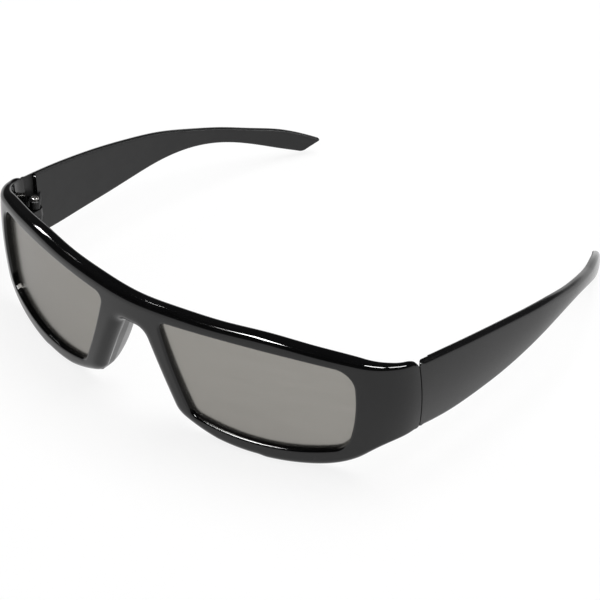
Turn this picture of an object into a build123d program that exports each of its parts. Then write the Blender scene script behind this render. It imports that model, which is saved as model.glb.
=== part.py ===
from build123d import *
from math import asin, cos, degrees, radians, sin
import os

os.makedirs("parts", exist_ok=True)

# Eclipse glasses at rest on a table, temples open. Lengths in millimetres, angles in degrees.
# X runs to the wearer's left, Y back towards the temple tips, Z up from the table.
# The origin is on the table, midway between the front of the bridge and the temple tips.

# Front moulding
overall_depth = 136.0
front_height = 36.7
rest_cut = 0.3
end_drop = 5.4
end_bottom = 11.5
brow_thickness = 5.1
rim_thickness = 4.5
end_thickness = 2.9
front_crown = 0.35
end_crown = 1.0
outer_round_share = 0.40
inner_round_share = 0.24

# Wrap of the outer face in plan: two arcs of these lengths, one that ends at this turn, and a tail
nose_bend_radius = 134.6
nose_bend_length = 29.3
lens_bend_radius = 160.8
lens_bend_length = 37.1
corner_radius = 15.9
corner_turn = 83.6
end_tail = 1.3

# Lens openings, measured along the panel of each lens, and the lenses
panel_length = 37.4
panel_lead = 0.3
bridge_width = 20.0
opening_width = 55.4
opening_low = 4.2
brow_height = 3.6
nose_top_round = 2.2
nose_low_round = 3.0
outer_low_round = 6.0
outer_top_round = 5.0
opening_front_round = 0.7
opening_rear_round = 0.4
lens_radius = 165.0
lens_recess = 1.3
lens_thickness = 1.1
lens_bite = 0.9
lens_play = 0.08

# Nose arch and pads
bridge_height = 8.7
arch_top_half = 4.95
arch_foot_height = 5.15
arch_foot_half = 15.6
arch_reach_half = 37.9
arch_top_round = 3.6
arch_foot_round = 6.0
pad_depth = 13.0
pad_root = 2.6
pad_inset = 0.3
pad_lean = 1.0
pad_thickness = 1.9
pad_root_thickness = 2.7
pad_root_depth = 4.6
pad_round = 0.8

# Temples
joint_gap = 0.3
temple_thickness = 3.0
tip_thickness = 2.4
temple_crown = 1.0
tip_crown = 0.4
first_bend_radius = 285.0
first_bend_start = -5.6
first_bend_end = 3.8
ear_bend_radius = 120.0
tip_top = 3.1
tip_slant = 5.2

# Hinges: one lug of the front between two lugs of the temple, on a steel screw
hinge_inset = 4.3
hinge_setback = 2.4
lug_radius = 1.9
lug_height = 2.5
lug_gap = 0.12
lug_drop = 7.0
web_length = 5.6
web_taper_share = 0.64
flange_thickness = 1.3
flange_length = 4.6
gusset_length = 6.0
screw_shank_radius = 0.7
screw_play = 0.05
screw_head_radius = 1.15
screw_head_height = 0.7
screw_head_round = 0.25
screw_slot_width = 0.35
screw_slot_depth = 0.35

cut_overrun = 20.0

# Heights that follow from those above
end_top = front_height - end_drop
opening_high = front_height - brow_height
arch_height = front_height - bridge_height
lug_top = end_top - lug_drop

# Stations of the front from the bridge outwards: share of the bend's turn, then how far the top,
# the bottom and the thickness have gone from the bridge's size to the end's
nose_shares = (
    (0.0, 0.22, 0.0, 0.0),
    (0.5, 0.11, 0.0, 0.0),
    (1.0, 0.05, 0.0, 0.03),
)
lens_shares = (
    (0.33, 0.0, 0.0, 0.07),
    (0.66, 0.17, 0.11, 0.14),
    (1.0, 0.40, 0.50, 0.30),
)
corner_shares = (
    (0.2, 0.47, 0.68, 0.45),
    (0.4, 0.545, 0.82, 0.62),
    (0.6, 0.63, 0.905, 0.78),
    (0.8, 0.73, 0.95, 0.91),
    (1.0, 0.86, 0.985, 1.0),
)

# Corners and middles of a lens opening's four edges: shares of its width from the nose and of
# its height from the bottom
nose_top_shares = (0.0, 0.985)
nose_middle_shares = (0.07, 0.54)
nose_low_shares = (0.175, 0.09)
low_middle_shares = (0.52, 0.0)
outer_low_shares = (0.954, 0.142)
outer_middle_shares = (1.0, 0.61)
outer_top_shares = (0.985, 0.958)
top_middle_shares = (0.42, 1.0)

# Levels of a nose pad from its foot up: share of the arch's height, share of the pad's depth
pad_shares = ((-0.12, 0.66), (0.08, 0.93), (0.45, 1.0), (0.78, 0.92), (0.93, 0.58))

# Stations of a temple: share of its length, of the drop of its top from joint to tip, of the
# height of its bottom at the joint, then how far thickness and crown have gone to the tip's
temple_shares = (
    (0.0, 0.0, 1.0, 0.0, 0.0),
    (0.09, 0.043, 0.927, 0.0, 0.05),
    (0.20, 0.105, 0.93, 0.0, 0.15),
    (0.31, 0.176, 0.967, 0.0, 0.30),
    (0.42, 0.259, 1.053, 0.05, 0.50),
    (0.53, 0.352, 1.14, 0.15, 0.70),
    (0.64, 0.475, 1.113, 0.30, 0.90),
    (0.73, 0.578, 0.94, 0.50, 1.0),
    (0.815, 0.689, 0.642, 0.70, 1.0),
    (0.89, 0.781, 0.33, 0.85, 1.0),
    (0.955, 0.899, 0.08, 1.0, 1.0),
    (1.01, 1.025, -0.14, 1.0, 1.0),
)


def blend(start, end, share):
    return start + (end - start) * share


# The plan of the front and of the temples

front_y = -overall_depth / 2
rear_y = overall_depth / 2


nose_bend_turn = degrees(nose_bend_length / nose_bend_radius)
lens_bend_turn = nose_bend_turn + degrees(lens_bend_length / lens_bend_radius)


def wrap_place(turn):
    """Point of the front's outer face, on the left side, where it has turned this far from X."""
    x = 0
    y = front_y
    starts = (0, nose_bend_turn, lens_bend_turn)
    ends = (nose_bend_turn, lens_bend_turn, corner_turn)
    radii = (nose_bend_radius, lens_bend_radius, corner_radius)
    for start, end, radius in zip(starts, ends, radii):
        if turn > start:
            a = radians(start)
            b = radians(min(turn, end))
            x += radius * (sin(b) - sin(a))
            y += radius * (cos(a) - cos(b))
    return x, y


corner_x, corner_y = wrap_place(corner_turn)
joint_x = corner_x + end_tail * cos(radians(corner_turn))
joint_y = corner_y + end_tail * sin(radians(corner_turn))
temple_y = joint_y + joint_gap
first_rise = first_bend_radius * (sin(radians(first_bend_end)) - sin(radians(first_bend_start)))
ear_y = temple_y + first_rise


def temple_turn(y):
    """Turn of the temple's outer face at this depth, in radians outward from X."""
    if y < ear_y:
        return asin(sin(radians(first_bend_start)) + (y - temple_y) / first_bend_radius)
    return asin(sin(radians(first_bend_end)) + (y - ear_y) / ear_bend_radius)


def temple_x(y):
    """Place of the temple's outer face across the glasses at this depth."""
    turn = temple_turn(min(y, ear_y))
    x = joint_x + first_bend_radius * (cos(turn) - cos(radians(first_bend_start)))
    if y > ear_y:
        x += ear_bend_radius * (cos(temple_turn(y)) - cos(radians(first_bend_end)))
    return x


# Sections of the moulded walls

def wall_section(place, out, heights, thicknesses, crown):
    """Upright section: crowned outer face at the place, inner face set in by its thicknesses."""
    low, high = heights
    low_thick, high_thick = thicknesses
    wall = min(low_thick, high_thick)
    plane = Plane(origin=(*place, 0), x_dir=(*out, 0), z_dir=(out[1], -out[0], 0))
    with BuildSketch(plane) as section:
        with BuildLine():
            ThreePointArc((-crown, low), (0, (low + high) / 2), (-crown, high))
            Polyline((-crown, high), (-high_thick, high), (-low_thick, low), (-crown, low))
        make_face()
        outer_corners = section.vertices().sort_by(Axis.X)[-2:]
        fillet(outer_corners, outer_round_share * wall)
        inner_corners = section.vertices().sort_by(Axis.X)[:2]
        fillet(inner_corners, inner_round_share * wall)
    return section.sketch


def front_section(side, place, turn, top, bottom, thin):
    return wall_section(
        (side * place[0], place[1]),
        (side * sin(radians(turn)), -cos(radians(turn))),
        (blend(-rest_cut, end_bottom, bottom), blend(front_height, end_top, top)),
        (blend(rim_thickness, end_thickness, thin), blend(brow_thickness, end_thickness, thin)),
        blend(front_crown, end_crown, thin),
    )


def front_sections(side):
    """Sections of one half of the front, from the bridge out to the joint."""
    turns = (0, nose_bend_turn, lens_bend_turn, corner_turn)
    sections = []
    for start, end, rows in zip(turns, turns[1:], (nose_shares, lens_shares, corner_shares)):
        for turn_share, top, bottom, thin in rows:
            turn = blend(start, end, turn_share)
            sections.append(front_section(side, wrap_place(turn), turn, top, bottom, thin))
    sections.append(front_section(side, (joint_x, joint_y), corner_turn, 1, 1, 1))
    return sections


def temple_section(length, drop, bottom, thin, flat):
    y = blend(temple_y, rear_y, length)
    turn = temple_turn(y)
    thickness = blend(temple_thickness, tip_thickness, thin)
    return wall_section(
        (temple_x(y), y),
        (cos(turn), sin(turn)),
        (bottom * end_bottom, blend(end_top, tip_top, drop)),
        (thickness, thickness),
        blend(temple_crown, tip_crown, flat),
    )


# Lens openings and lenses

face_turn = nose_bend_turn + degrees((panel_length - nose_bend_length) / lens_bend_radius)
panel_turn = face_turn + panel_lead
panel_x, panel_y = wrap_place(face_turn)
panel_across = (cos(radians(panel_turn)), sin(radians(panel_turn)))
bridge_half = bridge_width / 2
bridge_y = wrap_place(degrees(asin(bridge_half / nose_bend_radius)))[1]
opening_start = (bridge_half - panel_x) * panel_across[0] + (bridge_y - panel_y) * panel_across[1]


def panel_plane(side):
    """Upright plane on a lens panel's outer face, its X along the panel towards the left."""
    across, back = panel_across
    return Plane(
        origin=(side * panel_x, panel_y, 0),
        x_dir=(across, side * back, 0),
        z_dir=(side * back, -across, 0),
    )


def opening_point(side, shares, grow):
    along, up = shares
    across = blend(opening_start - grow, opening_start + opening_width + grow, along)
    return side * across, blend(opening_low - grow, opening_high + grow, up)


def opening_outline(side, grow):
    """Outline of a lens opening on its panel, grown all round."""
    with BuildSketch(panel_plane(side)) as outline:
        with BuildLine():
            for start, middle, end in (
                (nose_top_shares, nose_middle_shares, nose_low_shares),
                (nose_low_shares, low_middle_shares, outer_low_shares),
                (outer_low_shares, outer_middle_shares, outer_top_shares),
                (outer_top_shares, top_middle_shares, nose_top_shares),
            ):
                ThreePointArc(*(opening_point(side, shares, grow) for shares in (start, middle, end)))
        make_face()
        for shares, radius in (
            (nose_top_shares, nose_top_round),
            (nose_low_shares, nose_low_round),
            (outer_low_shares, outer_low_round),
            (outer_top_shares, outer_top_round),
        ):
            corner = outline.vertices().sort_by_distance(opening_point(side, shares, grow))[0]
            fillet(corner, radius + grow)
    return outline.sketch


def lens_sheet(side, grow, play):
    """A lens's outline, grown all round, cut from its curved sheet, with play on each face."""
    across, back = panel_across
    reach = lens_radius + lens_recess
    centre = (side * (panel_x - reach * back), panel_y + reach * across)
    with BuildPart() as sheet:
        extrude(opening_outline(side, grow), amount=-cut_overrun)
        with BuildSketch(Plane.XY.offset(-cut_overrun)):
            with Locations(centre):
                Circle(lens_radius + play)
                Circle(lens_radius - lens_thickness - play, mode=Mode.SUBTRACT)
        extrude(amount=front_height + 2 * cut_overrun, mode=Mode.INTERSECT)
    return sheet.part


# Edges of an opening up to this far behind its panel belong to the outer face
face_zone_share = 0.75
face_zone = face_zone_share * rim_thickness


def depth_behind(edge, plane):
    """How far the middle of an edge lies behind a plane that faces forward."""
    return -plane.to_local_coords(edge @ 0.5).Z


def runs_round(edge, plane):
    """Whether an edge runs round a cut along the plane, rather than through it."""
    start = plane.to_local_coords(edge @ 0)
    end = plane.to_local_coords(edge @ 1)
    return abs(end.Z - start.Z) < edge.length / 2


# Nose arch and pads

def arch_side(share):
    """Height and half width of the arch at this share of its straight side."""
    return blend(arch_foot_height, arch_height, share), blend(arch_foot_half, arch_top_half, share)


def pad_section(side, height_share, depth_share):
    """Level section of a nose pad, from inside the rim to its rounded rear edge."""
    z, half = arch_side(height_share)
    depth = pad_depth * depth_share
    nose_side = half - pad_lean
    with BuildSketch(Plane.XY.offset(z)) as section:
        with BuildLine():
            Polyline(
                (side * (half + pad_inset), front_y + pad_root),
                (side * nose_side, front_y + depth),
                (side * (nose_side + pad_thickness), front_y + depth),
                (side * (half + pad_inset + pad_root_thickness), front_y + pad_root_depth),
                close=True,
            )
        make_face()
        fillet(section.vertices().sort_by(Axis.Y)[-2:], pad_round)
    return section.sketch


# Hinges

axis_x = joint_x - hinge_inset
axis_y = joint_y + hinge_setback
front_lug_base = lug_top - 2 * lug_height - lug_gap
low_lug_base = front_lug_base - lug_gap - lug_height


def hinge_plane(side, z):
    return Plane(origin=(side * axis_x, axis_y, z))


def hinge_bore(side):
    """Bore for the screw through every lug of a hinge."""
    with BuildPart() as bore:
        with BuildSketch(hinge_plane(side, low_lug_base - cut_overrun)):
            Circle(screw_shank_radius + screw_play)
        extrude(amount=lug_top - low_lug_base + 2 * cut_overrun)
    return bore.part


# Front frame: lofted blank, openings, nose arch, grooves, pads and one lug for each hinge

left_half = front_sections(1)
right_half = front_sections(-1)

with BuildPart() as front_frame:
    loft(sections=right_half[:0:-1] + left_half)
    split(bisect_by=Plane.XY, keep=Keep.TOP)

    for side in (1, -1):
        panel = panel_plane(side)
        extrude(opening_outline(side, 0), amount=cut_overrun, both=True, mode=Mode.SUBTRACT)
        rim_edges = [edge for edge in edges(Select.LAST) if runs_round(edge, panel)]
        fillet([e for e in rim_edges if depth_behind(e, panel) < face_zone], opening_front_round)
        fillet([e for e in rim_edges if depth_behind(e, panel) > face_zone], opening_rear_round)

    with BuildSketch(Plane.XZ.offset(-front_y)) as arch:
        with BuildLine():
            Polyline(
                (-arch_foot_half, arch_foot_height),
                (-arch_top_half, arch_height),
                (arch_top_half, arch_height),
                (arch_foot_half, arch_foot_height),
            )
            for side in (1, -1):
                reach = (side * arch_reach_half, 0)
                TangentArc(reach, (side * arch_foot_half, arch_foot_height), tangent=(-side, 0))
                Line(reach, (side * arch_reach_half, -cut_overrun))
            Line((-arch_reach_half, -cut_overrun), (arch_reach_half, -cut_overrun))
        make_face()
        for x, z, radius in (
            (arch_top_half, arch_height, arch_top_round),
            (arch_foot_half, arch_foot_height, arch_foot_round),
        ):
            for side in (1, -1):
                fillet(arch.vertices().sort_by_distance((side * x, z))[0], radius)
    extrude(amount=cut_overrun, both=True, mode=Mode.SUBTRACT)

    for side in (1, -1):
        add(lens_sheet(side, lens_bite, lens_play), mode=Mode.SUBTRACT)
    for side in (1, -1):
        loft(sections=[pad_section(side, *shares) for shares in pad_shares])

    for side in (1, -1):
        with BuildSketch(hinge_plane(side, front_lug_base)) as lug:
            Circle(lug_radius)
            with BuildLine():
                Polyline(
                    (side * lug_radius, 0),
                    (side * lug_radius, joint_y - axis_y - web_length),
                    (-side * lug_radius, joint_y - axis_y - web_length * web_taper_share),
                    (-side * lug_radius, 0),
                    close=True,
                )
            make_face()
        extrude(amount=lug_height)
        add(hinge_bore(side), mode=Mode.SUBTRACT)

# Filter lenses, seated in the grooves of the frame

with BuildPart() as left_filter_lens:
    add(lens_sheet(1, lens_bite - lens_play, 0))

with BuildPart() as right_filter_lens:
    add(lens_sheet(-1, lens_bite - lens_play, 0))

# Temples: lofted blank, slanted tip, a pocket for the front's lug, and two lugs on a gusset each

with BuildPart() as left_temple:
    loft(sections=[temple_section(*shares) for shares in temple_shares])
    with BuildSketch(Plane.YZ) as tip:
        with BuildLine():
            Polyline(
                (rear_y - tip_slant, 0),
                (rear_y, tip_top),
                (rear_y + cut_overrun, tip_top),
                (rear_y + cut_overrun, -cut_overrun),
                (rear_y - cut_overrun, -cut_overrun),
                (rear_y - cut_overrun, 0),
                close=True,
            )
        make_face()
    extrude(amount=joint_x, mode=Mode.SUBTRACT)
    with BuildSketch(Plane.XY.offset(-cut_overrun)):
        with BuildLine():
            Polyline(
                (joint_x - flange_thickness, temple_y - cut_overrun),
                (joint_x - flange_thickness, temple_y + flange_length),
                (joint_x - cut_overrun, temple_y + flange_length),
                (joint_x - cut_overrun, temple_y - cut_overrun),
                close=True,
            )
        make_face()
    extrude(amount=front_height + 2 * cut_overrun, mode=Mode.SUBTRACT)
    wall_y = axis_y + gusset_length
    wall_x = temple_x(wall_y) - temple_thickness / 2
    for base in (low_lug_base, lug_top - lug_height):
        with BuildSketch(hinge_plane(1, base)):
            Circle(lug_radius)
            with BuildLine():
                Polyline(
                    (-lug_radius, 0),
                    (joint_x - flange_thickness / 2 - axis_x, 0),
                    (wall_x - axis_x, wall_y - axis_y),
                    close=True,
                )
            make_face()
        extrude(amount=lug_height)
    add(hinge_bore(1), mode=Mode.SUBTRACT)

with BuildPart() as right_temple:
    mirror(left_temple.part, about=Plane.YZ)

# Hinge screws, their heads seated on the upper lugs

with BuildPart() as left_hinge_screw:
    with BuildSketch(hinge_plane(1, low_lug_base)):
        Circle(screw_shank_radius)
    extrude(amount=lug_top - low_lug_base)
    with BuildSketch(hinge_plane(1, lug_top)):
        Circle(screw_head_radius)
    extrude(amount=screw_head_height)
    fillet(edges().sort_by(Axis.Z)[-1], screw_head_round)
    with BuildSketch(hinge_plane(1, lug_top + screw_head_height)):
        Rectangle(2 * screw_head_radius, screw_slot_width)
    extrude(amount=-screw_slot_depth, mode=Mode.SUBTRACT)

with BuildPart() as right_hinge_screw:
    mirror(left_hinge_screw.part, about=Plane.YZ)

pieces = {
    "front_frame": front_frame,
    "left_filter_lens": left_filter_lens,
    "right_filter_lens": right_filter_lens,
    "left_temple": left_temple,
    "right_temple": right_temple,
    "left_hinge_screw": left_hinge_screw,
    "right_hinge_screw": right_hinge_screw,
}
for name, piece in pieces.items():
    piece.part.label = name
    export_step(piece.part, f"parts/{name}.step")
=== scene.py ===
import bpy
from math import asin, atan2, cos, degrees, hypot, pi, radians, sin, tan

import numpy as np
from mathutils import Matrix, Vector
from mathutils.geometry import delaunay_2d_cdt


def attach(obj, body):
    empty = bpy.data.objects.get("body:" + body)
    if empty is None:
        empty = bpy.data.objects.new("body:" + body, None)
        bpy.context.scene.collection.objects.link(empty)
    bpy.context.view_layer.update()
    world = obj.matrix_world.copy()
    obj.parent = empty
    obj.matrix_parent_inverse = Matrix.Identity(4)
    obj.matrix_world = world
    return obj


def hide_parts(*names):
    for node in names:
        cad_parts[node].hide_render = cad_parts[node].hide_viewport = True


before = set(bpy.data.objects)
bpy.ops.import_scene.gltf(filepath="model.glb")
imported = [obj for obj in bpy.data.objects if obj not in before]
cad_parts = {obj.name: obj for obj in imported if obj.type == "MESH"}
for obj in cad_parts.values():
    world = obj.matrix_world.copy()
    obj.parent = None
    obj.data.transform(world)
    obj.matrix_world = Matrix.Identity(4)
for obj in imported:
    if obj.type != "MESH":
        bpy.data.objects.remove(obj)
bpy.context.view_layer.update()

# Sizes of the moulded pieces in millimetres and degrees. They are the solids' own, but for the arch,
# the nose pads, the lens recess, the top corners of the openings and the temple tip's height,
# which follow the photo a little more closely here.
MM = 0.001
overall_depth = 136.0
front_height = 36.7
rest_cut = 0.3
end_drop = 5.4
end_bottom = 11.5
brow_thickness = 5.1
rim_thickness = 4.5
end_thickness = 2.9
front_crown = 0.35
end_crown = 1.0
outer_round_share = 0.40
inner_round_share = 0.24
parting_round = 0.12
end_corner_round = 1.0

nose_bend_radius = 134.6
nose_bend_length = 29.3
lens_bend_radius = 160.8
lens_bend_length = 37.1
corner_radius = 15.9
corner_turn = 83.6
end_tail = 1.3

panel_length = 37.4
panel_lead = 0.3
bridge_width = 20.0
opening_width = 55.4
opening_low = 4.2
brow_height = 3.6
opening_front_round = 0.7
opening_rear_round = 0.4
lens_radius = 165.0
lens_recess = 1.9
lens_thickness = 1.1
lens_bite = 0.82

bridge_height = 9.9
arch_top_half = 4.2
arch_foot_height = 5.15
arch_foot_half = 14.3
arch_reach_half = 37.9
arch_top_round = 3.4
arch_foot_round = 6.0
arch_front_round = 3.0
arch_rear_round = 0.8

joint_gap = 0.3
temple_thickness = 3.0
tip_thickness = 2.4
temple_crown = 1.0
tip_crown = 0.4
first_bend_radius = 285.0
first_bend_start = -5.6
first_bend_end = 3.8
ear_bend_radius = 120.0
tip_top = 4.3
tip_slant = 5.2
tip_round = 1.0
flange_thickness = 1.3
flange_length = 4.6

hinge_inset = 4.3
hinge_setback = 2.4
lug_radius = 1.9
lug_height = 2.5
lug_gap = 0.12
lug_drop = 7.0
web_length = 5.6
web_taper_share = 0.64
gusset_length = 6.0

# A pad starts inside the rim, runs straight along the arch, then splays outwards to its rear edge
pad_near_root = 3.4
pad_inner_root = 3.0
pad_far_root = 4.0
pad_root_inset = 0.4
pad_proud = 0.05
pad_straight = 6.6
pad_deepest = 10.7
pad_splay = 0.7
pad_round = 0.85
pad_round_share = 0.45
pad_sharp = 0.05
pad_crease_gap = 0.1

end_top = front_height - end_drop
opening_high = front_height - brow_height
arch_height = front_height - bridge_height
lug_top = end_top - lug_drop

# Stations of the front: share of the bend's turn, then how far top, bottom and thickness have gone
nose_shares = (
    (0.0, 0.22, 0.0, 0.0),
    (0.5, 0.11, 0.0, 0.0),
    (1.0, 0.05, 0.0, 0.03),
)
lens_shares = (
    (0.33, 0.0, 0.0, 0.07),
    (0.66, 0.17, 0.11, 0.14),
    (1.0, 0.40, 0.50, 0.30),
)
corner_shares = (
    (0.2, 0.47, 0.68, 0.45),
    (0.4, 0.545, 0.82, 0.62),
    (0.6, 0.63, 0.905, 0.78),
    (0.8, 0.73, 0.95, 0.91),
    (1.0, 0.86, 0.985, 1.0),
)

# Corners and middles of a lens opening's edges: shares of its width and height
nose_top_shares = (0.0, 0.962)
nose_middle_shares = (0.07, 0.54)
nose_low_shares = (0.175, 0.09)
low_middle_shares = (0.52, 0.0)
outer_low_shares = (0.954, 0.142)
outer_middle_shares = (1.0, 0.61)
outer_top_shares = (0.985, 0.945)
top_middle_shares = (0.42, 1.0)
nose_top_round = 2.2
nose_low_round = 3.0
outer_low_round = 6.0
outer_top_round = 6.0

# Levels of a nose pad: height, nose side from the middle, thickness at root and rear edge, depth
pad_levels = (
    (5.0, 14.8, 0.8, 0.7, 5.4),
    (5.5, 14.4, 2.4, 1.9, 6.6),
    (6.6, 13.7, 3.3, 2.3, 8.3),
    (8.7, 12.7, 3.3, 2.2, 9.8),
    (11.0, 11.6, 3.0, 2.1, 10.4),
    (14.0, 10.2, 2.8, 2.0, 10.7),
    (18.0, 8.3, 2.7, 1.9, 10.4),
    (22.0, 6.5, 2.7, 1.9, 9.4),
    (25.0, 5.1, 2.6, 1.9, 7.4),
)

# Stations of a temple: shares of its length, top's drop, bottom's height, thinning and flattening
temple_shares = (
    (0.0, 0.0, 1.0, 0.0, 0.0),
    (0.09, 0.043, 0.927, 0.0, 0.05),
    (0.20, 0.105, 0.93, 0.0, 0.15),
    (0.31, 0.176, 0.967, 0.0, 0.30),
    (0.42, 0.259, 1.053, 0.05, 0.50),
    (0.53, 0.352, 1.14, 0.15, 0.70),
    (0.64, 0.475, 1.113, 0.30, 0.90),
    (0.73, 0.578, 0.94, 0.50, 1.0),
    (0.815, 0.689, 0.642, 0.70, 1.0),
    (0.89, 0.781, 0.33, 0.85, 1.0),
    (0.955, 0.899, 0.08, 1.0, 1.0),
    (1.01, 1.025, -0.14, 1.0, 1.0),
)

front_y = -overall_depth / 2
rear_y = overall_depth / 2

# The temple's path runs on behind its tip, to this share of the depth
temple_run_share = 1.2

# Lengths over which bends, roundings and the wall's lean ease off, in millimetres
front_soften = 3.0
temple_soften = 6.0
foot_ease = 3.0
arch_ease = 11.0
arch_ease_end = 27.0
end_fade = 2.0
lean_reach = 1.6

# Small forms in millimetres
lens_round = 0.1
tip_end_inset = 0.05
bore_radius = 0.75
lug_bevel = 0.15
least_wall = 0.05
pocket_gap = 0.03

# Mesh fineness in millimetres, degrees and counts
path_step = 0.1
edge_step = 0.5
end_step = edge_step / 2
outline_step = edge_step / 5
pocket_step = 0.5
grid_step = 0.9
sharp_angle = 40.0
pad_rings = 36
bore_count = 24
lug_arc_count = 21
foot_count = 40
nearest_batch = 2000
corner_soften = 0.5523

# Where the rings beside an edge lie, as shares of its rounding, and the rows of a wall, as shares of it
ring_shares = (0.06, 0.18, 0.36, 0.6, 0.85, 1.1)
wall_shares = (0.08, 0.35, 0.65, 0.92)

# How far rings keep from their own edge and from others, and the grid and given points from all
own_ring_share = 0.97
other_ring_share = 0.5
other_ring_gap = 0.02
other_ring_most = 0.3
grid_round_share = 1.1
grid_round_gap = 0.3 * grid_step
grid_least_gap = 0.5 * grid_step
extra_gap = 0.12

# Points from a corner at which the direction of an outline is read
look_back = 8
foot_look_back = 4


def blend(start, end, share):
    return start + (end - start) * share


def smooth_track(places, values):
    """Natural cubic spline through these values, as a function of place."""
    x = np.asarray(places, float)
    y = np.asarray(values, float)
    h = np.diff(x)
    n = len(x)
    matrix = np.eye(n)
    right = np.zeros(n)
    for i in range(1, n - 1):
        matrix[i, i - 1 : i + 2] = h[i - 1], 2 * (h[i - 1] + h[i]), h[i]
        right[i] = 6 * ((y[i + 1] - y[i]) / h[i] - (y[i] - y[i - 1]) / h[i - 1])
    bend = np.linalg.solve(matrix, right)

    def value(at):
        at = np.clip(np.asarray(at, float), x[0], x[-1])
        i = np.clip(np.searchsorted(x, at) - 1, 0, n - 2)
        a = x[i + 1] - at
        b = at - x[i]
        return (
            (bend[i] * a**3 + bend[i + 1] * b**3) / (6 * h[i])
            + (y[i] / h[i] - bend[i] * h[i] / 6) * a
            + (y[i + 1] / h[i] - bend[i + 1] * h[i] / 6) * b
        )

    return value


class Path:
    """Plan of a wall's outer face: a curve through an anchor, with its turn from X at each length."""

    def __init__(self, anchor, turn, low, high, curvature, soften=0.0):
        count = int(round((high - low) / path_step)) + 1
        self.s = np.linspace(low, high, count)
        bend = curvature(self.s)
        if soften:
            kernel = np.hanning(int(soften / path_step) | 1)
            pad = len(kernel) // 2
            bend = np.convolve(np.pad(bend, pad, mode="edge"), kernel / kernel.sum(), "valid")
        step = np.diff(self.s)
        self.turn = np.concatenate([[0], np.cumsum((bend[1:] + bend[:-1]) / 2 * step)])
        self.turn += turn - np.interp(0, self.s, self.turn)
        middle = (self.turn[1:] + self.turn[:-1]) / 2
        self.x = np.concatenate([[0], np.cumsum(np.cos(middle) * step)])
        self.y = np.concatenate([[0], np.cumsum(np.sin(middle) * step)])
        self.x += anchor[0] - np.interp(0, self.s, self.x)
        self.y += anchor[1] - np.interp(0, self.s, self.y)

    def at(self, s):
        return tuple(np.interp(s, self.s, values) for values in (self.x, self.y, self.turn))


# Outlines in the plane of length along the path and height

def resample(points, step):
    """The same open polyline with evenly spaced points."""
    points = np.asarray(points, float)
    gaps = np.hypot(*np.diff(points, axis=0).T)
    length = np.concatenate([[0], np.cumsum(gaps)])
    count = max(2, int(round(length[-1] / step)) + 1)
    at = np.linspace(0, length[-1], count)
    return np.column_stack([np.interp(at, length, points[:, k]) for k in (0, 1)])


def trim(points, length, from_end):
    """An open polyline shortened by this length at its end or start, and the point it now ends on."""
    points = np.asarray(points, float)
    if from_end:
        points = points[::-1]
    gaps = np.hypot(*np.diff(points, axis=0).T)
    along = np.concatenate([[0], np.cumsum(gaps)])
    cut = np.array([np.interp(length, along, points[:, k]) for k in (0, 1)])
    kept = np.vstack([cut, points[along > length + 1e-6]])
    return kept[::-1] if from_end else kept


def join_soft(first, second, reach, count=14):
    """Two polylines that meet at a corner, joined by a curve that starts this far from the corner."""
    corner = np.asarray(first[-1], float)
    first = trim(first, reach, True)
    second = trim(second, reach, False)
    start, end = first[-1], second[0]
    t = np.linspace(0, 1, count)[1:-1, None]
    near = start + (corner - start) * corner_soften
    far = end + (corner - end) * corner_soften
    curve = (1 - t) ** 3 * start + 3 * (1 - t) ** 2 * t * near + 3 * (1 - t) * t**2 * far + t**3 * end
    return np.vstack([first, curve, second])


def arc(start, middle, end, count=60):
    """Points of the circular arc through three points."""
    (ax, ay), (bx, by), (cx, cy) = start, middle, end
    d = 2 * (ax * (by - cy) + bx * (cy - ay) + cx * (ay - by))
    ux = ((ax**2 + ay**2) * (by - cy) + (bx**2 + by**2) * (cy - ay) + (cx**2 + cy**2) * (ay - by)) / d
    uy = ((ax**2 + ay**2) * (cx - bx) + (bx**2 + by**2) * (ax - cx) + (cx**2 + cy**2) * (bx - ax)) / d
    radius = hypot(ax - ux, ay - uy)
    turns = np.unwrap([atan2(y - uy, x - ux) for x, y in (start, middle, end)])
    a = np.linspace(turns[0], turns[2], count)
    return np.column_stack([ux + radius * np.cos(a), uy + radius * np.sin(a)])


def corner_reach(before, corner, after, radius):
    """Distance from a corner at which a rounding of this radius touches its two sides."""
    a = np.asarray(before) - corner
    b = np.asarray(after) - corner
    angle = np.arccos(np.dot(a, b) / np.linalg.norm(a) / np.linalg.norm(b))
    return radius / tan(angle / 2)


def round_ends(line, before, after):
    """A line between two end lines with its corners rounded, and what is left of the two."""
    short_before = trim(before, end_corner_round, True)
    short_after = trim(after, end_corner_round, False)
    whole = join_soft(before, line, end_corner_round)
    whole = join_soft(whole, after, end_corner_round)
    line = whole[len(short_before) - 1 : len(whole) - len(short_after) + 1]
    return line, short_before, short_after


# Walls: a flat domain of length and height, wrapped on a path with rounded edges

class Edge:
    """A stretch of a domain's boundary with the rounding of its outer and inner arris."""

    def __init__(self, points, outer_round, inner_round):
        self.points = np.asarray(points, float)
        self.outer_round = np.broadcast_to(outer_round, len(self.points)).astype(float)
        self.inner_round = np.broadcast_to(inner_round, len(self.points)).astype(float)

    def nearest(self, places):
        """Distance from each place to the edge, and the roundings there."""
        start = self.points[:-1]
        run = np.diff(self.points, axis=0)
        size = np.maximum((run**2).sum(1), 1e-12)
        distance = np.empty(len(places))
        outer = np.empty(len(places))
        inner = np.empty(len(places))
        for low in range(0, len(places), nearest_batch):
            batch = slice(low, low + nearest_batch)
            part = places[batch]
            away = part[:, None, :] - start[None]
            t = np.clip((away * run).sum(2) / size, 0, 1)
            gap = np.hypot(*(away - t[:, :, None] * run).transpose(2, 0, 1))
            k = gap.argmin(1)
            rows = np.arange(len(part))
            share = t[rows, k]
            distance[batch] = gap[rows, k]
            outer[batch] = blend(self.outer_round[k], self.outer_round[k + 1], share)
            inner[batch] = blend(self.inner_round[k], self.inner_round[k + 1], share)
        return distance, outer, inner


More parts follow.
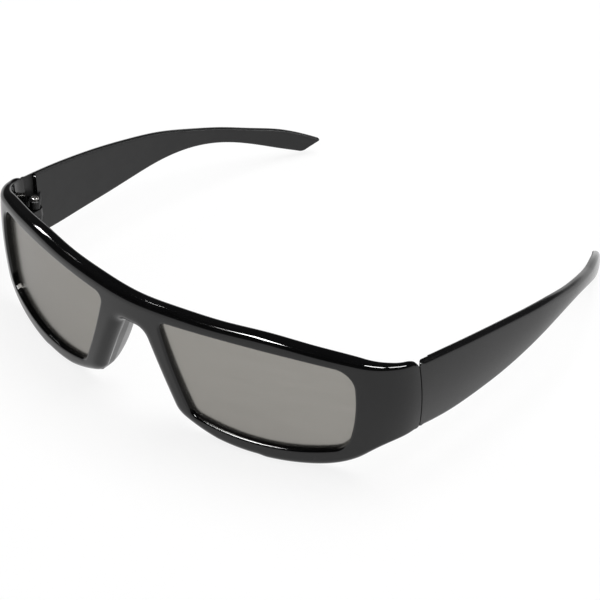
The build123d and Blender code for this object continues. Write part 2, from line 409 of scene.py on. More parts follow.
def wall_edge(line, wall, arch_reach=0.0):
    """Edge whose roundings follow the wall, ease into the arch and fade out at the line's ends."""
    outer = outer_round_share * wall
    inner = inner_round_share * wall
    in_arch = np.clip((arch_reach - np.abs(line[:, 0])) / arch_ease, 0, 1)
    outer = blend(outer, arch_front_round, in_arch)
    inner = blend(inner, arch_rear_round, in_arch)
    along = np.concatenate([[0], np.cumsum(np.hypot(*np.diff(line, axis=0).T))])
    fade = np.clip(np.minimum(along, along[-1] - along) / end_fade, 0, 1)
    return Edge(line, blend(parting_round, outer, fade), blend(parting_round, inner, fade))


def inside(loop, places):
    """Whether each place lies inside a closed polygon."""
    x, y = places[:, 0], places[:, 1]
    result = np.zeros(len(places), bool)
    ends = np.roll(loop, -1, axis=0)
    for (ax, ay), (bx, by) in zip(loop, ends):
        if ay != by:
            crosses = (ay > y) != (by > y)
            result ^= crosses & (x < (bx - ax) * (y - ay) / (by - ay) + ax)
    return result


def drop(distance, radius):
    """How far a rounded arris has fallen at this distance from the edge."""
    short = np.clip(radius - distance, 0, radius)
    return radius - np.sqrt(np.maximum(radius**2 - short**2, 0))


def triangulate(outer_edges, hole_edges, extra):
    """Points and triangles that fill the domain, with rings of points beside each edge."""
    loop = np.vstack([edge.points[:-1] for edge in outer_edges])
    holes = [edge.points[:-1] for edge in hole_edges]
    edges = outer_edges + hole_edges
    domain = [loop] + holes
    candidates = []
    for edge in edges:
        run = np.gradient(edge.points, axis=0)
        if edge in hole_edges:
            run = np.roll(edge.points[:-1], -1, axis=0) - np.roll(edge.points[:-1], 1, axis=0)
            run = np.vstack([run, run[:1]])
        side = np.column_stack([-run[:, 1], run[:, 0]])
        side /= np.maximum(np.linalg.norm(side, axis=1)[:, None], 1e-9)
        for share in ring_shares:
            reach = share * edge.outer_round
            ring = edge.points + side * reach[:, None]
            keep = np.ones(len(ring), bool)
            other_least = np.minimum(other_ring_most, other_ring_share * reach + other_ring_gap)
            for other in edges:
                gap, _, _ = other.nearest(ring)
                keep &= gap > (own_ring_share * reach if other is edge else other_least)
            candidates.append(ring[keep])
    low, high = loop.min(0), loop.max(0)
    columns = np.arange(low[0], high[0], grid_step)
    rows = np.arange(low[1], high[1], grid_step)
    grid = np.array([(x + (j % 2) * grid_step / 2, z) for j, z in enumerate(rows) for x in columns])
    keep = np.ones(len(grid), bool)
    for edge in edges:
        gap, outer, _ = edge.nearest(grid)
        keep &= gap > np.maximum(grid_round_share * outer + grid_round_gap, grid_least_gap)
    candidates.append(grid[keep])
    if len(extra):
        keep = np.ones(len(extra), bool)
        for edge in edges:
            gap, _, _ = edge.nearest(extra)
            keep &= gap > extra_gap
        candidates.append(extra[keep])
    free = np.vstack(candidates)
    within = inside(loop, free)
    for hole in holes:
        within &= ~inside(hole, free)
    points = np.vstack(domain + [free[within]])
    constraints = []
    base = 0
    for ring in domain:
        constraints += [(base + k, base + (k + 1) % len(ring)) for k in range(len(ring))]
        base += len(ring)
    result = delaunay_2d_cdt([Vector(p) for p in points], constraints, [], 0, 1e-5)
    places = np.array([tuple(v) for v in result[0]])
    triangles = np.array([face for face in result[2]])
    centres = places[triangles].mean(1)
    keep = inside(loop, centres)
    for hole in holes:
        keep &= ~inside(hole, centres)
    triangles = triangles[keep]
    a, b, c = (places[triangles[:, k]] for k in range(3))
    area = (b[:, 0] - a[:, 0]) * (c[:, 1] - a[:, 1]) - (b[:, 1] - a[:, 1]) * (c[:, 0] - a[:, 0])
    triangles[area < 0] = triangles[area < 0][:, ::-1]
    return places, triangles


def moulded(path, outer_edges, hole_edges, depths, lean=None, extra=()):
    """Points and faces of a wall on its path. depths gives its outer and inner face's depth."""
    places, triangles = triangulate(outer_edges, hole_edges, np.asarray(extra, float).reshape(-1, 2))
    outer_drop = np.zeros(len(places))
    inner_drop = np.zeros(len(places))
    for edge in outer_edges + hole_edges:
        gap, outer, inner = edge.nearest(places)
        outer_drop += drop(gap, outer)
        inner_drop += drop(gap, inner)
    outer, inner = depths(places[:, 0], places[:, 1])
    outer = outer + outer_drop
    inner = np.maximum(inner - inner_drop, outer + least_wall)
    x, y, turn = path.at(places[:, 0])
    angle = turn if lean is None else lean(places, turn)
    inner = inner / np.cos(angle - turn)
    z = np.maximum(places[:, 1], 0)
    front = np.column_stack([x - np.sin(turn) * outer, y + np.cos(turn) * outer, z])
    rear = np.column_stack([x - np.sin(angle) * inner, y + np.cos(angle) * inner, z])
    count = len(places)
    directed = set()
    for a, b, c in triangles.tolist():
        directed.update(((a, b), (b, c), (c, a)))
    rim = [edge for edge in directed if (edge[1], edge[0]) not in directed]
    rim_points = sorted({point for edge in rim for point in edge})
    index = {point: k for k, point in enumerate(rim_points)}
    rows = [blend(front[rim_points], rear[rim_points], share) for share in wall_shares]
    points = np.vstack([front, rear] + rows)

    def level(row, point):
        if row == 0:
            return point
        if row > len(wall_shares):
            return count + point
        return 2 * count + (row - 1) * len(rim_points) + index[point]

    faces = [tuple(t) for t in triangles] + [tuple(t[::-1] + count) for t in triangles]
    for a, b in rim:
        for row in range(len(wall_shares) + 1):
            faces.append((level(row, b), level(row, a), level(row + 1, a), level(row + 1, b)))
    return points, faces


def mirror(shape):
    points, faces = shape
    return points * (-1, 1, 1), [tuple(face)[::-1] for face in faces]


def joined(shapes):
    points = np.vstack([shape[0] for shape in shapes])
    faces = []
    base = 0
    for shape_points, shape_faces in shapes:
        faces += [tuple(int(i) + base for i in face) for face in shape_faces]
        base += len(shape_points)
    return points, faces


def make_piece(name, shapes, body, node, material):
    """One object from shapes in millimetres, that stands for a CAD node."""
    points, faces = joined(shapes)
    mesh = bpy.data.meshes.new(name)
    mesh.from_pydata((points * MM).tolist(), [], faces)
    mesh.validate()
    mesh.polygons.foreach_set("use_smooth", [True] * len(mesh.polygons))
    mesh.set_sharp_from_angle(angle=radians(sharp_angle))
    mesh.materials.append(material)
    piece = bpy.data.objects.new(name, mesh)
    bpy.context.scene.collection.objects.link(piece)
    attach(piece, body)
    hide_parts(node)


# Front moulding

nose_length = nose_bend_length
lens_end = nose_length + lens_bend_length
lens_end_turn = nose_bend_length / nose_bend_radius + lens_bend_length / lens_bend_radius
corner_end = lens_end + corner_radius * (radians(corner_turn) - lens_end_turn)
front_end = corner_end + end_tail


def front_curvature(s):
    s = np.abs(s)
    return np.select(
        [s < nose_length, s < lens_end, s < corner_end],
        [1 / nose_bend_radius, 1 / lens_bend_radius, 1 / corner_radius],
        0.0,
    )


front_path = Path((0, front_y), 0, -front_end, front_end, front_curvature, front_soften)
lens_zone = lens_end - nose_length
corner_zone = corner_end - lens_end
stations = [(nose_length * share, *rest) for share, *rest in nose_shares]
stations += [(nose_length + lens_zone * share, *rest) for share, *rest in lens_shares]
stations += [(lens_end + corner_zone * share, *rest) for share, *rest in corner_shares]
stations.append((front_end, 1.0, 1.0, 1.0))
mirrored_stations = [(-s, *rest) for s, *rest in stations[:0:-1]]
station_table = np.array(mirrored_stations + stations)
top_track = smooth_track(station_table[:, 0], station_table[:, 1])
bottom_track = smooth_track(station_table[:, 0], station_table[:, 2])
thin_track = smooth_track(station_table[:, 0], station_table[:, 3])


def front_top(s):
    return blend(front_height, end_top, top_track(s))


def front_bottom(s):
    return blend(-rest_cut, end_bottom, bottom_track(s))


def rim_wall(s):
    return blend(rim_thickness, end_thickness, thin_track(s))


def front_depths(s, z):
    low, high = front_bottom(s), front_top(s)
    thin = thin_track(s)
    q = (2 * z - low - high) / (high - low)
    share = (z - low) / (high - low)
    thick = blend(rim_wall(s), blend(brow_thickness, end_thickness, thin), share)
    return blend(front_crown, end_crown, thin) * np.clip(np.abs(q), 0, 1) ** 2, thick


def length_at_x(x):
    """Length along the front's path at this place across."""
    return np.interp(x, front_path.x, front_path.s)


panel_x, panel_y, face_turn = (float(v) for v in front_path.at(panel_length))
panel_turn = degrees(face_turn) + panel_lead
across_x, across_y = cos(radians(panel_turn)), sin(radians(panel_turn))
panel_places = (front_path.x - panel_x) * across_x + (front_path.y - panel_y) * across_y
bridge_half = bridge_width / 2
bridge_y = front_path.at(length_at_x(bridge_half))[1]
opening_start = (bridge_half - panel_x) * across_x + (bridge_y - panel_y) * across_y


def opening_loop(grow):
    """Closed outline of the left opening in panel coordinates, clockwise seen from the front."""
    def place(shares):
        return np.array([
            blend(opening_start - grow, opening_start + opening_width + grow, shares[0]),
            blend(opening_low - grow, opening_high + grow, shares[1]),
        ])

    corners = (nose_top_shares, outer_top_shares, outer_low_shares, nose_low_shares)
    middles = (top_middle_shares, outer_middle_shares, low_middle_shares, nose_middle_shares)
    rounds = (nose_top_round, outer_top_round, outer_low_round, nose_low_round)
    sides = []
    for k in range(len(corners)):
        sides.append(arc(place(corners[k]), place(middles[k]), place(corners[(k + 1) % len(corners)])))
    loop = resample(sides[0], outline_step)
    for k, side in enumerate(sides[1:] + sides[:1]):
        side = resample(side, outline_step)
        radius = rounds[(k + 1) % len(rounds)] + grow
        reach = corner_reach(loop[-look_back], loop[-1], side[look_back - 1], radius)
        if k < len(sides) - 1:
            loop = join_soft(loop, side, reach)
        else:
            closing = join_soft(loop[len(loop) // 2 :], loop[: len(loop) // 2], reach)
            loop = np.vstack([closing, closing[:1]])
    return resample(loop, edge_step)


open_loop = opening_loop(0)
left_side = front_path.s > 0
loop_length = np.interp(open_loop[:, 0], panel_places[left_side], front_path.s[left_side])
left_hole = np.column_stack([loop_length, open_loop[:, 1]])
right_hole = (left_hole * (-1, 1))[::-1]
hole_edges = [Edge(loop, opening_front_round, opening_rear_round) for loop in (right_hole, left_hole)]

# The arch, from one reach to the other, across the glasses and up
arch_rise = arch_foot_height
arch_run = arch_reach_half - arch_foot_half
foot_radius = (arch_run**2 + arch_rise**2) / (2 * arch_rise)
foot_turns = np.linspace(0, asin(arch_run / foot_radius), foot_count)
left_foot = np.column_stack([
    arch_reach_half - foot_radius * np.sin(foot_turns),
    foot_radius * (1 - np.cos(foot_turns)),
])[::-1]
left_slope = np.array([(arch_top_half, arch_height), (arch_foot_half, arch_foot_height)])
left_slope = resample(left_slope, outline_step)
arch_top = np.array([(-arch_top_half, arch_height), (arch_top_half, arch_height)])
arch_top = resample(arch_top, outline_step)
foot_reach = corner_reach(
    left_slope[-look_back], left_slope[-1], left_foot[foot_look_back - 1], arch_foot_round
)
top_reach = corner_reach(left_slope[look_back - 1], left_slope[0], arch_top[0], arch_top_round)
left_arch = join_soft(left_slope, resample(left_foot, outline_step), foot_reach)
right_arch = (left_arch * (-1, 1))[::-1]
arch_line = join_soft(right_arch, arch_top, top_reach)
arch_line = resample(join_soft(arch_line, left_arch, top_reach), edge_step)
arch_lengths = np.column_stack([length_at_x(arch_line[:, 0]), arch_line[:, 1]])

reach_length = float(length_at_x(arch_reach_half))
rim_lengths = np.arange(reach_length + edge_step, front_end, edge_step)
rim_lengths = np.append(rim_lengths, front_end)
ease = np.clip((rim_lengths - reach_length) / foot_ease, 0, 1)
ease = ease * ease * (3 - 2 * ease)
rim_line = np.column_stack([rim_lengths, np.maximum(front_bottom(rim_lengths), -rest_cut) * ease])
rim_line[:, 1] = np.where(ease < 1, -rest_cut * ease, rim_line[:, 1])
bottom_line = np.vstack([(rim_line * (-1, 1))[::-1], arch_lengths, rim_line])
top_lengths = np.linspace(front_end, -front_end, int(2 * front_end / edge_step))
top_line = np.column_stack([top_lengths, front_top(top_lengths)])
left_end = resample([bottom_line[-1], top_line[0]], end_step)
right_end = resample([top_line[-1], bottom_line[0]], end_step)
bottom_line, right_end, left_end = round_ends(bottom_line, right_end, left_end)
top_line, left_end, right_end = round_ends(top_line, left_end, right_end)
bottom_edge = wall_edge(bottom_line, rim_wall(bottom_line[:, 0]), arch_ease_end)
top_edge = wall_edge(top_line, rim_wall(top_line[:, 0]))
front_edges = [
    bottom_edge,
    Edge(left_end, parting_round, parting_round),
    top_edge,
    Edge(right_end, parting_round, parting_round),
]
arch_edge = Edge(arch_lengths, 0, 0)


def front_lean(places, turn):
    """Direction of the wall: along the cut beside an opening or the arch, else square to the path."""
    side = np.where(places[:, 0] < 0, -1, 1)
    angle = np.array(turn)
    hole_gap = np.minimum(*(edge.nearest(places)[0] for edge in hole_edges))
    arch_gap = arch_edge.nearest(places)[0]
    hole_weight = np.exp(-((hole_gap / lean_reach) ** 2))
    arch_weight = np.exp(-((arch_gap / lean_reach) ** 2))
    total = np.maximum(hole_weight + arch_weight, 1)
    angle += (side * radians(panel_turn) - turn) * hole_weight / total
    angle -= turn * arch_weight / total
    return angle


front_shape = moulded(front_path, front_edges, hole_edges, front_depths, front_lean)


# Nose pads, lofted from level rings

def ring_solid(rings):
    """Points and faces of a solid from closed rings of equal count, stacked upwards."""
    count = len(rings[0])
    points = np.vstack(rings)
    faces = []
    for level in range(len(rings) - 1):
        for k in range(count):
            a = level * count + k
            b = level * count + (k + 1) % count
            faces.append((a, b, b + count, a + count))
    faces.append(tuple(range(count))[::-1])
    faces.append(tuple(range((len(rings) - 1) * count, len(rings) * count)))
    return points, faces


def rounded_polygon(corners, radii, count=6):
    """Polygon with rounded corners, as a list of points with the same count for every size."""
    result = []
    for k, corner in enumerate(corners):
        corner = np.asarray(corner, float)
        before = np.asarray(corners[k - 1], float)
        after = np.asarray(corners[(k + 1) % len(corners)], float)
        reach = corner_reach(before, corner, after, radii[k])
        start = corner + (before - corner) / np.linalg.norm(before - corner) * reach
        end = corner + (after - corner) / np.linalg.norm(after - corner) * reach
        for t in np.linspace(0, 1, count):
            result.append((1 - t) ** 2 * start + 2 * (1 - t) * t * corner + t**2 * end)
    return np.array(result)


pad_heights, *pad_columns = zip(*pad_levels)
pad_tracks = [smooth_track(pad_heights, column) for column in pad_columns]


def pad_shape():
    """The left pad: its section at each level, from the foot to the top of the arch."""
    rings = []
    for z in np.linspace(pad_heights[0], pad_heights[-1], pad_rings):
        half, root_wall, rear_wall, depth = (float(track(z)) for track in pad_tracks)
        splay = pad_splay * np.clip((depth - pad_straight) / (pad_deepest - pad_straight), 0, 1)
        crease = min(pad_straight, depth - pad_round - pad_crease_gap)
        rear = half + splay
        rear_round = min(pad_round, pad_round_share * rear_wall)
        ring = rounded_polygon(
            (
                (half - pad_proud, front_y + pad_near_root),
                (half + pad_root_inset, front_y + pad_inner_root),
                (half + pad_root_inset + root_wall, front_y + pad_far_root),
                (rear + rear_wall, front_y + depth),
                (rear, front_y + depth),
                (half - pad_proud, front_y + crease),
            ),
            (pad_sharp, pad_sharp, pad_sharp, rear_round, rear_round, pad_sharp),
        )
        rings.append(np.column_stack([ring, np.full(len(ring), z)]))
    return ring_solid(rings)


left_pad = pad_shape()


# Hinge lugs: upright plates with a bore and bevelled edges

joint_x, joint_y, _ = (float(v) for v in front_path.at(front_end))
temple_y = joint_y + joint_gap
axis_x = joint_x - hinge_inset
axis_y = joint_y + hinge_setback
front_lug_base = lug_top - 2 * lug_height - lug_gap
low_lug_base = front_lug_base - lug_gap - lug_height


def plate(outline, base, height):
    """A plate with a bore about the hinge axis. Its outline runs counterclockwise."""
    outline = np.asarray(outline, float)
    run = np.roll(outline, -1, axis=0) - np.roll(outline, 1, axis=0)
    inward = np.column_stack([-run[:, 1], run[:, 0]]) / np.linalg.norm(run, axis=1)[:, None]
    turns = np.linspace(0, 2 * pi, bore_count, endpoint=False)
    bore = np.column_stack([axis_x + bore_radius * np.cos(turns), axis_y + bore_radius * np.sin(turns)])
    cap = outline + inward * lug_bevel
    # From the bottom up: lower cap, both levels of the outline, upper cap, then the bore's two rims
    loops = [(cap, base), (outline, base + lug_bevel)]
    loops += [(outline, base + height - lug_bevel), (cap, base + height)]
    loops += [(bore, base + height), (bore, base)]
    counts = [len(loop) for loop, _ in loops]
    points = np.vstack([np.column_stack([loop, np.full(len(loop), z)]) for loop, z in loops])
    starts = np.concatenate([[0], np.cumsum(counts)])
    faces = []
    for level in (0, 1, 2):
        n = counts[level]
        for k in range(n):
            a, b = starts[level] + k, starts[level] + (k + 1) % n
            faces.append((a, b, b + n, a + n))
    n = len(bore)
    for k in range(n):
        a, b = starts[4] + k, starts[4] + (k + 1) % n
        faces.append((a, b, starts[5] + (k + 1) % n, starts[5] + k))
    flat = np.vstack([cap, bore])
    lines = [(k, (k + 1) % len(cap)) for k in range(len(cap))]
    lines += [(len(cap) + k, len(cap) + (k + 1) % n) for k in range(n)]
    result = delaunay_2d_cdt([Vector(p) for p in flat], lines, [], 0, 1e-6)
    for face in result[2]:
        centre = flat[list(face)].mean(0)[None]
        if inside(cap, centre)[0] and not inside(bore, centre)[0]:
            a, b, c = (flat[i] for i in face)
            ccw = (b[0] - a[0]) * (c[1] - a[1]) - (b[1] - a[1]) * (c[0] - a[0]) > 0
            up = tuple(face) if ccw else tuple(face)[::-1]
            top = [starts[3] + i if i < len(cap) else starts[4] + i - len(cap) for i in up]
            low = [i if i < len(cap) else starts[5] + i - len(cap) for i in up]
            faces.append(tuple(top))
            faces.append(tuple(low[::-1]))
    return points, faces


def lug_arc(start, end):
    turns = np.radians(np.linspace(start, end, lug_arc_count))
    return [(axis_x + lug_radius * cos(a), axis_y + lug_radius * sin(a)) for a in turns]


front_lug = plate(
    lug_arc(0, 180) + [
        (axis_x - lug_radius, joint_y - web_length * web_taper_share),
        (axis_x + lug_radius, joint_y - web_length),
    ],
    front_lug_base,
    lug_height,
)

# Temples

first_length = first_bend_radius * radians(first_bend_end - first_bend_start)
temple_run = temple_run_share * overall_depth


def temple_curvature(s):
    return np.where(s < first_length, 1 / first_bend_radius, 1 / ear_bend_radius)


temple_path = Path(
    (joint_x, temple_y), radians(90 + first_bend_start), 0, temple_run, temple_curvature, temple_soften
)


def temple_length(y):
    """Length along the temple's path at this place rearwards."""
    return float(np.interp(y, temple_path.y, temple_path.s))


station_places = [temple_length(blend(temple_y, rear_y, shares[0])) for shares in temple_shares]
drop_track, low_track, thinning_track, flat_track = (
    smooth_track(station_places, [shares[k] for shares in temple_shares]) for k in (1, 2, 3, 4)
)


def temple_top(s):
    return blend(end_top, tip_top, drop_track(s))


def temple_bottom(s):
    return end_bottom * low_track(s)


def temple_wall(s):
    return blend(temple_thickness, tip_thickness, thinning_track(s))


def temple_depths(s, z):
    low, high = temple_bottom(s), temple_top(s)
    q = (2 * z - low - high) / (high - low)
    outer = blend(temple_crown, tip_crown, flat_track(s)) * np.clip(np.abs(q), 0, 1) ** 2
    x, y, turn = temple_path.at(s)
    flange = (x - joint_x + flange_thickness) / -np.sin(turn + pi)
    pocket = y < temple_y + flange_length
    return outer, np.where(pocket, flange, temple_wall(s))


tip_low = temple_length(rear_y - tip_slant)
tip_high = temple_length(rear_y - tip_end_inset)
low_lengths = np.arange(0, tip_low, edge_step)
low_line = np.column_stack([low_lengths, np.maximum(temple_bottom(low_lengths), 0)])
low_line = np.vstack([low_line, [(tip_low, low_line[-1, 1])]])
slant_line = resample([low_line[-1], (tip_high, tip_top)], end_step)
high_lengths = np.append(np.arange(tip_high, 0, -edge_step), 0.0)
high_line = np.column_stack([high_lengths, temple_top(high_lengths)])
high_line[0, 1] = slant_line[-1, 1]
temple_line = join_soft(join_soft(low_line, slant_line, tip_round), high_line, tip_round)
joint_line = resample([temple_line[-1], temple_line[0]], end_step)
temple_line, _, _ = round_ends(temple_line, joint_line, joint_line)
joint_line = trim(trim(joint_line, end_corner_round, True), end_corner_round, False)
temple_edges = [
    wall_edge(temple_line, temple_wall(temple_line[:, 0])),
    Edge(joint_line, parting_round, parting_round),
]
pocket_length = temple_length(temple_y + flange_length)
pocket_rows = np.arange(end_bottom, end_top, pocket_step)
pocket_points = [(pocket_length + side * pocket_gap, z) for z in pocket_rows for side in (-1, 1)]
temple_shape = moulded(temple_path, temple_edges, [], temple_depths, extra=pocket_points)

gusset_y = axis_y + gusset_length
gusset_x = float(np.interp(gusset_y, temple_path.y, temple_path.x)) - temple_thickness / 2
gusset_line = [(joint_x - flange_thickness / 2, axis_y), (gusset_x, gusset_y)] + lug_arc(180, 360)
temple_lugs = [plate(gusset_line, base, lug_height) for base in (low_lug_base, lug_top - lug_height)]


# Filter lenses: the opening's outline, grown into the groove, on a sheet of one curvature

def lens_curvature(s):
    return np.full(np.shape(s), 1 / lens_radius)


lens_path = Path(
    (panel_x - lens_recess * across_y, panel_y + lens_recess * across_x),
    radians(panel_turn), -opening_width, opening_width, lens_curvature,
)


def lens_shape():
    loop = opening_loop(lens_bite)[::-1]
    places = (lens_path.x - lens_path.x[len(lens_path.x) // 2]) * across_x
    places += (lens_path.y - lens_path.y[len(lens_path.y) // 2]) * across_y
    lengths = np.interp(loop[:, 0], places, lens_path.s)
    loop = np.column_stack([lengths, loop[:, 1]])
    middle = len(loop) // 2
    edges = [Edge(part, lens_round, lens_round) for part in (loop[: middle + 1], loop[middle:])]

    def depths(s, z):
        return np.zeros(len(s)), np.full(len(s), lens_thickness)

    def square_to_panel(places, turn):
        return np.full(len(turn), radians(panel_turn))

    return moulded(lens_path, edges, [], depths, square_to_panel)


left_lens = lens_shape()


# Materials. A grain is the scale and detail of a noise, and its ends are where a ramp over it starts
# and stops.

cloud_grain = (90.0, 3.0)
patch_grain = (240.0, 4.0)
ripple_grain = (420.0, 2.0)
streak_grain = (60.0, 5.0)
haze_grain = (900.0, 3.0)
turning_grain = (2600.0, 3.0)
fibre_grain = (40.0, 4.0)
usual_ends = (0.3, 0.7)
patch_ends = (0.3, 0.75)
streak_ends = (0.25, 0.75)

ripple_height = 0.00004
streak_stretch = (1.0, 1.0, 6.0)
inward_scale = -20.0
inward_ends = (0.35, 0.75)

film_dark = (0.296, 0.284, 0.262)
film_light = (0.311, 0.299, 0.277)
film_smoothest = 0.215
film_roughest = 0.235
film_metallic = 0.85
film_edge_tint = (0.68, 0.68, 0.68, 1)

steel_dark = (0.42, 0.41, 0.40)
steel_light = (0.60, 0.59, 0.57)
steel_smoothest = 0.22
steel_roughest = 0.34

paper_dark = 0.93
paper_light = 0.95
paper_roughness = 0.7


def node_material(name):
    material = bpy.data.materials.new(name)
    material.use_nodes = True
    nodes = material.node_tree.nodes
    return material, nodes, material.node_tree.links, nodes["Principled BSDF"]


def noise(nodes, links, coordinates, grain):
    texture = nodes.new("ShaderNodeTexNoise")
    texture.inputs["Scale"].default_value, texture.inputs["Detail"].default_value = grain
    links.new(coordinates, texture.inputs["Vector"])
    return texture.outputs["Fac"]


def ramp(nodes, links, factor, stops):
    """Colour by a factor, from stops of place and colour."""
    node = nodes.new("ShaderNodeValToRGB")
    elements = node.color_ramp.elements
    while len(elements) < len(stops):
        elements.new(0.5)
    for element, (place, colour) in zip(elements, stops):
        element.position = place
        element.color = (*colour, 1)
    links.new(factor, node.inputs["Fac"])
    return node.outputs["Color"]


def spread(nodes, links, factor, low, high, ends=usual_ends):
    """A ramp between two colours or two greys."""
    if isinstance(low, float):
        low, high = grey(low), grey(high)
    return ramp(nodes, links, factor, ((ends[0], low), (ends[1], high)))


def math_node(nodes, links, operation, first, second):
    node = nodes.new("ShaderNodeMath")
    node.operation = operation
    for socket, value in zip(node.inputs, (first, second)):
        if isinstance(value, float):
            socket.default_value = value
        else:
            links.new(value, socket)
    return node.outputs["Value"]


def grey(value):
    return (value, value, value)


def matt_inside(nodes, links, coordinates, gloss, extra):
    """A roughness with this much more on faces that look towards the middle of the glasses."""
    place = nodes.new("ShaderNodeSeparateXYZ")
    facing = nodes.new("ShaderNodeSeparateXYZ")
    links.new(coordinates.outputs["Object"], place.inputs["Vector"])
    links.new(coordinates.outputs["Normal"], facing.inputs["Vector"])
    outward = math_node(nodes, links, "MULTIPLY", place.outputs["X"], facing.outputs["X"])
    inward = math_node(nodes, links, "MULTIPLY", outward, inward_scale)
    mask = spread(nodes, links, inward, 0.0, extra, inward_ends)
    return math_node(nodes, links, "ADD", gloss, mask)


def moulded_plastic(name, dark, light, smoothest, roughest, ripple, index, inner_matt=0.0):
    """Black injection-moulded plastic: slight clouding of colour and gloss, and a faint ripple."""
    material, nodes, links, shader = node_material(name)
    texture_place = nodes.new("ShaderNodeTexCoord")
    coordinates = texture_place.outputs["Object"]
    cloud = noise(nodes, links, coordinates, cloud_grain)
    links.new(spread(nodes, links, cloud, dark, light), shader.inputs["Base Color"])
    patches = noise(nodes, links, coordinates, patch_grain)
    gloss = spread(nodes, links, patches, smoothest, roughest, patch_ends)
    if inner_matt:
        gloss = matt_inside(nodes, links, texture_place, gloss, inner_matt)
    links.new(gloss, shader.inputs["Roughness"])
    bump = nodes.new("ShaderNodeBump")
    bump.inputs["Strength"].default_value = ripple
    bump.inputs["Distance"].default_value = ripple_height
    links.new(noise(nodes, links, coordinates, ripple_grain), bump.inputs["Height"])
    links.new(bump.outputs["Normal"], shader.inputs["Normal"])
    shader.inputs["IOR"].default_value = index
    return material


frame_black = moulded_plastic(
    "frame_black", dark=(0.0022, 0.0022, 0.0024), light=(0.0034, 0.0034, 0.0037),
    smoothest=0.04, roughest=0.07, ripple=0.06, index=1.43,
)
temple_black = moulded_plastic(
    "temple_black", dark=(0.0045, 0.0045, 0.0048), light=(0.007, 0.007, 0.0075),
    smoothest=0.13, roughest=0.19, ripple=0.3, index=1.45, inner_matt=0.34,
)


def filter_film():
    """Silvery solar film between clear skins: warm grey, even, with the faintest streaks."""
    material, nodes, links, shader = node_material("filter_film")
    coordinates = nodes.new("ShaderNodeTexCoord").outputs["Object"]
    stretch = nodes.new("ShaderNodeMapping")
    stretch.inputs["Scale"].default_value = streak_stretch
    links.new(coordinates, stretch.inputs["Vector"])
    streaks = noise(nodes, links, stretch.outputs["Vector"], streak_grain)
    tone = spread(nodes, links, streaks, film_dark, film_light, streak_ends)
    links.new(tone, shader.inputs["Base Color"])
    haze = noise(nodes, links, coordinates, haze_grain)
    gloss = spread(nodes, links, haze, film_smoothest, film_roughest)
    links.new(gloss, shader.inputs["Roughness"])
    shader.inputs["Metallic"].default_value = film_metallic
    shader.inputs["Specular Tint"].default_value = film_edge_tint
    return material


def turned_steel():
    """Small machined screw: bright steel with fine marks from the tool."""
    material, nodes, links, shader = node_material("turned_steel")
    coordinates = nodes.new("ShaderNodeTexCoord").outputs["Object"]
    marks = noise(nodes, links, coordinates, turning_grain)
    tone = spread(nodes, links, marks, steel_dark, steel_light)
    links.new(tone, shader.inputs["Base Color"])
    gloss = spread(nodes, links, marks, steel_smoothest, steel_roughest)
    links.new(gloss, shader.inputs["Roughness"])
    shader.inputs["Metallic"].default_value = 1.0
    return material


film = filter_film()
steel = turned_steel()

make_piece(
    "front_moulding", [front_shape, left_pad, mirror(left_pad), front_lug, mirror(front_lug)],
    "front", "front_frame", frame_black,
)
make_piece("left_lens", [left_lens], "front", "left_filter_lens", film)
make_piece("right_lens", [mirror(left_lens)], "front", "right_filter_lens", film)
left_arm = [temple_shape] + temple_lugs
make_piece("left_arm", left_arm, "left_temple_arm", "left_temple", temple_black)
make_piece(
    "right_arm", [mirror(shape) for shape in left_arm],
    "right_temple_arm", "right_temple", temple_black,
)
for name in ("left_hinge_screw", "right_hinge_screw"):
    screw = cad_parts[name]
    screw.data.materials.clear()
    screw.data.materials.append(steel)


# Floor, background, lights and camera

scene = bpy.context.scene

# The floor's size in metres, and how far it is seen white whatever light falls on it
floor_size = 6.0
floor_white_share = 0.85

# The light that the room gives to surfaces, and its brightness in reflections by the direction's height
room_light = 0.4
room_stops = ((0.0, grey(1.0)), (0.06, grey(1.0)), (0.2, grey(0.06)), (0.6, grey(0.02)))

# Lamps, in metres and watts: name, place, direction of the width, width, height, power, and whether
# the lamp is a glint
lamps = (
    ("key_light", (0.1, 0.35, 0.9), (1, 0, 0), 0.9, 0.6, 8.5, False),
    ("brow_glint", (-0.20, -0.285, 0.8), (0.69, -0.72, 0), 0.38, 0.13, 12.0, True),
    ("corner_glint", (0.35, -0.08, 0.8), (1, 0.4, 0), 0.34, 0.13, 7.0, True),
    ("end_glint", (0.50, 0.22, 0.62), (0.3, 1, 0), 0.3, 0.14, 4.0, True),
    ("far_glint", (-0.766, 0.312, 0.62), (0.4, 1, 0), 0.25, 0.14, 3.6, True),
)

# Camera: place in metres, then its right, up and back directions
camera_place = (0.35704, -0.39641, 0.35232)
camera_axes = (
    (0.75188, 0.65884, -0.02444),
    (-0.34786, 0.42793, 0.83419),
    (0.56005, -0.61872, 0.55093),
)
camera_lens = 136.183
camera_sensor = 36.0
camera_nearest = 0.02
camera_farthest = 20.0


def add_floor(material):
    mesh = bpy.data.meshes.new("floor")
    h = floor_size / 2
    mesh.from_pydata([(-h, -h, 0), (h, -h, 0), (h, h, 0), (-h, h, 0)], [], [(0, 1, 2, 3)])
    mesh.materials.append(material)
    piece = bpy.data.objects.new("floor", mesh)
    scene.collection.objects.link(piece)


def seen_directly(nodes, links):
    """1 for rays that show the background: from the camera, reflected or through a clear piece."""
    path = nodes.new("ShaderNodeLightPath").outputs
    either = math_node(nodes, links, "MAXIMUM", path["Is Camera Ray"], path["Is Glossy Ray"])
    return math_node(nodes, links, "MAXIMUM", either, path["Is Transmission Ray"])


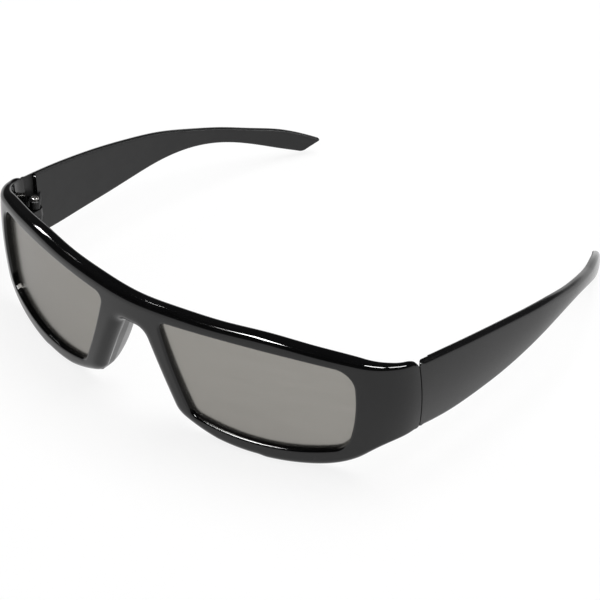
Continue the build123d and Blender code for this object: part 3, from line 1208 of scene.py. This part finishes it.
def table_paper():
    """White sweep that keeps part of the object's shadow where it is seen."""
    material, nodes, links, shader = node_material("table_paper")
    coordinates = nodes.new("ShaderNodeTexCoord").outputs["Object"]
    fibres = noise(nodes, links, coordinates, fibre_grain)
    tone = spread(nodes, links, fibres, paper_dark, paper_light)
    links.new(tone, shader.inputs["Base Color"])
    shader.inputs["Roughness"].default_value = paper_roughness
    white = nodes.new("ShaderNodeEmission")
    mix = nodes.new("ShaderNodeMixShader")
    share = math_node(nodes, links, "MULTIPLY", seen_directly(nodes, links), floor_white_share)
    links.new(share, mix.inputs[0])
    links.new(shader.outputs["BSDF"], mix.inputs[1])
    links.new(white.outputs["Emission"], mix.inputs[2])
    links.new(mix.outputs["Shader"], nodes["Material Output"].inputs["Surface"])
    return material


add_floor(table_paper())


def studio_world():
    """White where it is seen, a dim even light on surfaces, and in reflections a dark room above a
    pale horizon."""
    world = bpy.data.worlds.new("studio")
    world.use_nodes = True
    nodes = world.node_tree.nodes
    links = world.node_tree.links
    background = nodes["Background"]
    path = nodes.new("ShaderNodeLightPath").outputs
    direction = nodes.new("ShaderNodeTexCoord").outputs["Generated"]
    axes = nodes.new("ShaderNodeSeparateXYZ")
    links.new(direction, axes.inputs["Vector"])
    room = ramp(nodes, links, axes.outputs["Z"], room_stops)
    lit = nodes.new("ShaderNodeMix")
    lit.data_type = "RGBA"
    links.new(path["Is Glossy Ray"], lit.inputs["Factor"])
    lit.inputs["A"].default_value = (*grey(room_light), 1)
    links.new(room, lit.inputs["B"])
    seen = nodes.new("ShaderNodeMix")
    seen.data_type = "RGBA"
    direct = math_node(nodes, links, "MAXIMUM", path["Is Camera Ray"], path["Is Transmission Ray"])
    links.new(direct, seen.inputs["Factor"])
    links.new(lit.outputs["Result"], seen.inputs["A"])
    seen.inputs["B"].default_value = (1, 1, 1, 1)
    links.new(seen.outputs["Result"], background.inputs["Color"])
    background.inputs["Strength"].default_value = 1.0
    return world


scene.world = studio_world()


def softbox(name, place, along, width, height, power, glint):
    """Lamp aimed at the object. A glint shows only in reflections, any other lamp never does."""
    lamp = bpy.data.lights.new(name, "AREA")
    lamp.shape = "RECTANGLE"
    lamp.size = width
    lamp.size_y = height
    lamp.energy = power
    back = Vector(place).normalized()
    upward = back.cross(Vector(along)).normalized()
    across = upward.cross(back)
    piece = bpy.data.objects.new(name, lamp)
    piece.location = place
    piece.rotation_mode = "QUATERNION"
    piece.rotation_quaternion = Matrix((across, upward, back)).transposed().to_quaternion()
    piece.visible_diffuse = not glint
    piece.visible_glossy = glint
    scene.collection.objects.link(piece)


for lamp_row in lamps:
    softbox(*lamp_row)

camera_data = bpy.data.cameras.new("camera")
camera_data.sensor_width = camera_sensor
camera_data.lens = camera_lens
camera_data.clip_start = camera_nearest
camera_data.clip_end = camera_farthest
camera = bpy.data.objects.new("camera", camera_data)
camera.location = camera_place
camera.rotation_mode = "QUATERNION"
camera.rotation_quaternion = Matrix(camera_axes).transposed().to_quaternion()
scene.collection.objects.link(camera)
scene.camera = camera
scene.view_settings.view_transform = "Standard"
